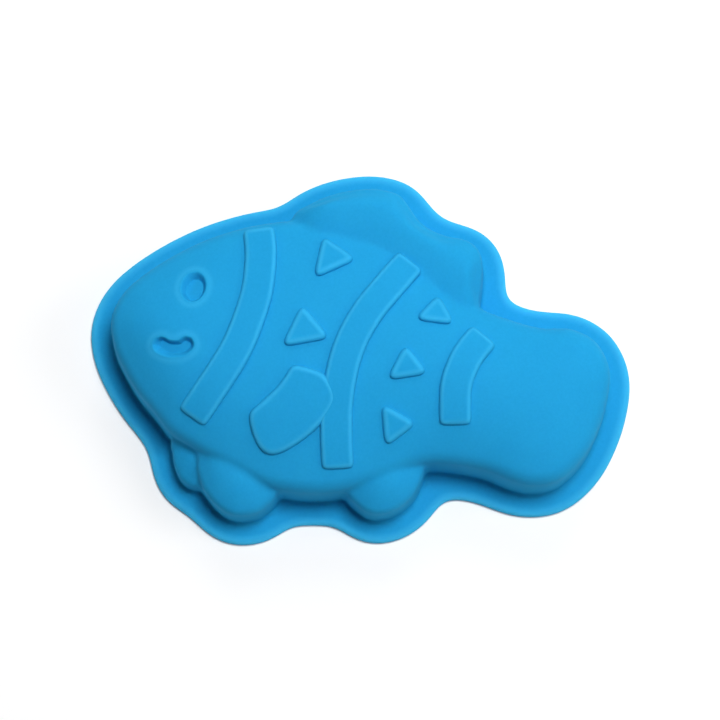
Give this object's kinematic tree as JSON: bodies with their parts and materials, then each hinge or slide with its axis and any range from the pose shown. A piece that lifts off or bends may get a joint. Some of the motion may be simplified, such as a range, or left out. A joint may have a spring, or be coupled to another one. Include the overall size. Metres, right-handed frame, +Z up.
{
  "type": "sand mould",
  "caption": "Fish-shaped soft sand mould: an open pocket with lobed fins, raised stripes and scales and sunk eye and mouth, on a flat rim.",
  "frame": {"origin": "centre of the outline, on the underside of the rim", "axes": "+X from nose to tail, +Y from belly to back, +Z up from the resting face towards the crown"},
  "size_m": [0.1395, 0.0967, 0.0317],
  "materials": {
    "silicone": "satin blue silicone"
  },
  "bodies": {
    "root": {"rim_flange": "silicone", "body_shell": "silicone", "dorsal_fin": "silicone", "far_pelvic_fin": "silicone", "near_pelvic_fin": "silicone", "anal_fin": "silicone", "front_stripe": "silicone", "middle_stripe": "silicone", "tail_stripe": "silicone", "side_fin": "silicone", "triangle_scales": "silicone"}
  },
  "joints": []
}
